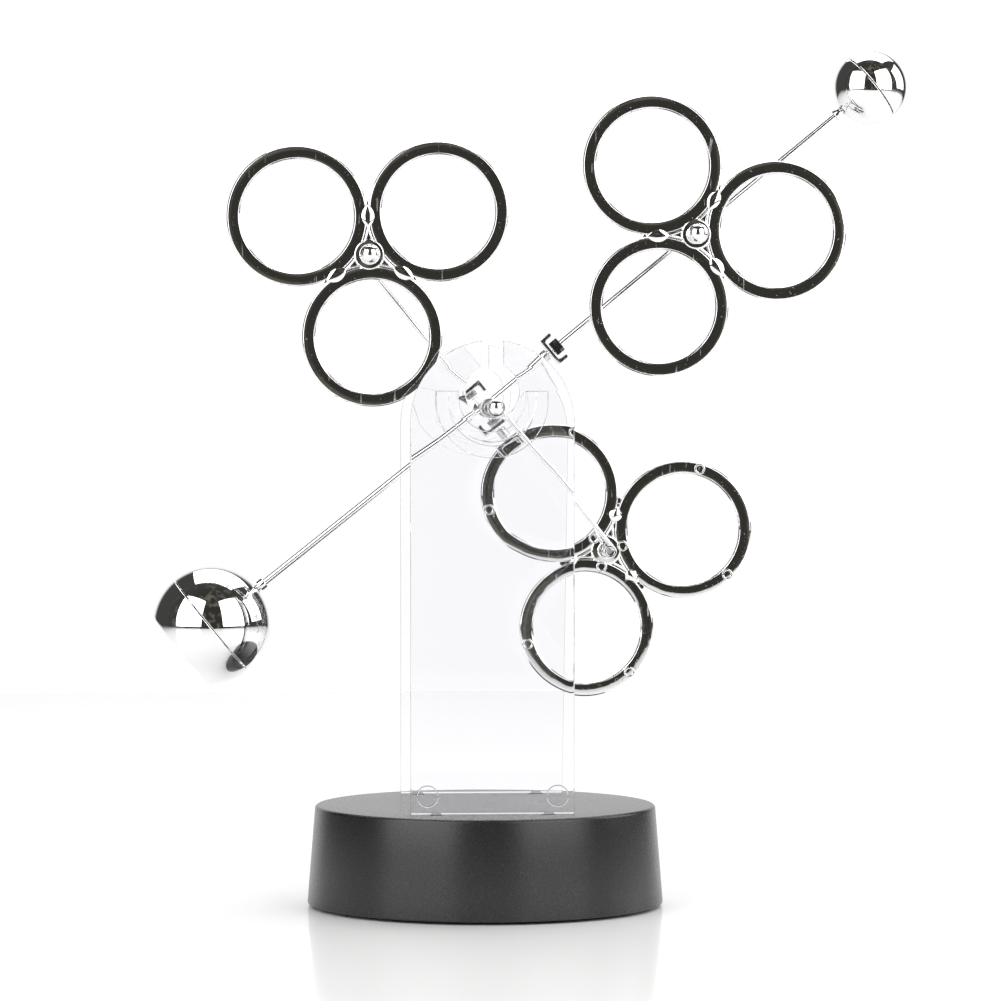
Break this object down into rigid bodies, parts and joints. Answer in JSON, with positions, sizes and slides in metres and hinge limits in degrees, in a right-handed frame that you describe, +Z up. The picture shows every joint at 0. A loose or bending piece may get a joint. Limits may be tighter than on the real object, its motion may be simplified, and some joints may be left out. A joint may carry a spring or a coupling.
{
  "type": "kinetic desk mobile",
  "caption": "Desk mobile: a cross of chrome rods with ring trios and balls rocks on an axle between clear plates over a round magnetic drive base.",
  "frame": {"origin": "centre of the pad's underside, on the table", "axes": "+Z up, front towards -Y, +X to the right of the viewer, where the small ball is; the axle lies along Y"},
  "size_m": [0.2551, 0.12, 0.2889],
  "materials": {
    "black_plastic": "satin moulded black",
    "rubber_pad": "matt foam rubber",
    "steel": "plain turned steel",
    "battery_jacket": "plain gloss jacket, no print",
    "snap_plastic": "matt moulded red",
    "board": "satin green resin",
    "dark_plastic": "gloss dark",
    "white_plastic": "natural white",
    "copper": "enamelled copper wire",
    "clear_plastic": "clear polished moulding",
    "chrome": "bright plated metal",
    "chrome_plastic": "bright plated plastic",
    "magnet": "plated magnet"
  },
  "bodies": {
    "stand": {"base_shell": "black_plastic", "bottom_cover": "black_plastic", "base_pad": "rubber_pad", "cover_screw_1": "steel", "cover_screw_2": "steel", "cover_screw_3": "steel", "battery_9v": "battery_jacket", "battery_snap": "snap_plastic", "circuit_board": "board", "transistor": "dark_plastic", "capacitor": "dark_plastic", "coil_bobbin": "white_plastic", "coil_winding": "copper", "coil_core": "steel", "front_plate": "clear_plastic", "rear_plate": "clear_plastic"},
    "rotor": {"axle": "chrome", "axle_ball_front": "chrome", "axle_ball_rear": "chrome", "hub": "steel", "drive_rod": "chrome", "upper_rod": "chrome", "left_arm": "chrome", "right_arm": "chrome", "bracket_left": "chrome", "bracket_right": "chrome", "bracket_lower": "chrome", "bracket_upper": "chrome", "link_stud": "chrome", "nut_left": "steel", "nut_right": "steel", "spacer_lower": "steel", "collar_upper": "steel", "bead_upper": "dark_plastic", "drive_ball_cap": "chrome_plastic", "drive_ball_neck": "chrome_plastic", "drive_magnet": "magnet", "magnet_holder": "white_plastic", "drive_ball_ferrule": "chrome", "tip_ball_cap": "chrome_plastic", "tip_ball_neck": "chrome_plastic", "tip_ball_plug": "white_plastic", "tip_ball_ferrule": "chrome", "upper_pivot_block": "chrome", "left_pin": "steel", "upper_pin": "steel", "right_pin": "steel", "left_pin_cap": "chrome", "upper_pin_cap": "chrome", "right_pin_cap": "chrome"},
    "left_trio": {"ring_trio_left": "chrome_plastic"},
    "upper_trio": {"ring_trio_upper": "chrome_plastic"},
    "right_trio": {"ring_trio_right": "chrome_plastic"},
    "hatch": {"battery_hatch": "black_plastic"}
  },
  "joints": [
    {"name": "rotor_swing", "type": "hinge", "parent": "stand", "child": "rotor", "pos_m": [0.0012, 0, 0.16783], "axis": [0, -1, 0], "range_deg": [-100, 200]},
    {"name": "left_spin", "type": "hinge", "parent": "rotor", "child": "left_trio", "pos_m": [-0.03945, -0.0105, 0.2189], "axis": [0, -1, 0], "continuous": true},
    {"name": "upper_spin", "type": "hinge", "parent": "rotor", "child": "upper_trio", "pos_m": [0.07026, -0.0105, 0.22611], "axis": [0, -1, 0], "continuous": true},
    {"name": "right_spin", "type": "hinge", "parent": "rotor", "child": "right_trio", "pos_m": [0.04179, 0.0105, 0.11944], "axis": [0, -1, 0], "continuous": true},
    {"name": "hatch_hinge", "type": "hinge", "parent": "stand", "child": "hatch", "pos_m": [0, 0.0448, 0.0014], "axis": [1, 0, 0], "range_deg": [0, 95]}
  ]
}
